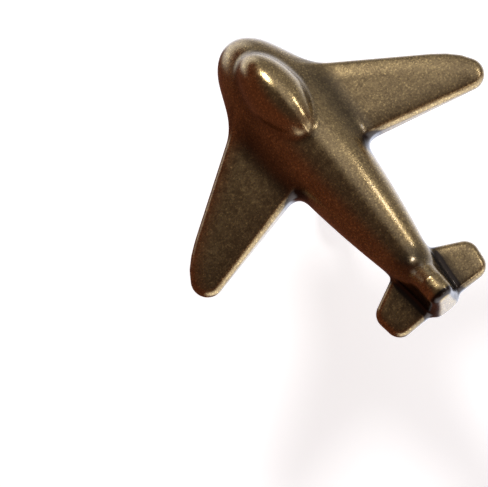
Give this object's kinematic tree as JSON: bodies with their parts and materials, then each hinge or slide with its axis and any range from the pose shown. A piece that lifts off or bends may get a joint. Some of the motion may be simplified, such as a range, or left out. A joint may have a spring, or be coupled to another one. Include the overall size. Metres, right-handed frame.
{
  "type": "drawer knob",
  "caption": "Aeroplane-shaped cabinet knob: solid cast body with canopy, swept wings, tailplane and low fin on a round boss, with its mounting screw and washer.",
  "frame": {"origin": "centre of the boss's base face, where the knob meets the drawer front", "axes": "+Z out of the drawer front, through the canopy; -Y towards the nose; +X towards the port wing tip"},
  "size_m": [0.0698, 0.0666, 0.049],
  "materials": {
    "antique_brass": "antique brass plating, darkened and rubbed back on the high spots, under a satin lacquer",
    "zinc_plated_steel": "bright zinc plate"
  },
  "bodies": {
    "knob": {"plane_casting": "antique_brass"},
    "washer": {"flat_washer": "zinc_plated_steel"},
    "screw": {"mounting_screw": "zinc_plated_steel"}
  },
  "joints": [
    {"name": "washer_travel", "type": "slide", "parent": "knob", "child": "washer", "axis": [0, 0, -1], "range_m": [-0.0028, 0.0056]},
    {"name": "screw_turn", "type": "hinge", "parent": "washer", "child": "screw", "pos_m": [0, 0, -0.019], "axis": [0, 0, -1], "range_deg": [-1440, 2880]}
  ],
  "couplings": [
    {"joint": "screw_turn", "follows": "washer_travel", "rad_per_m": 8976}
  ]
}
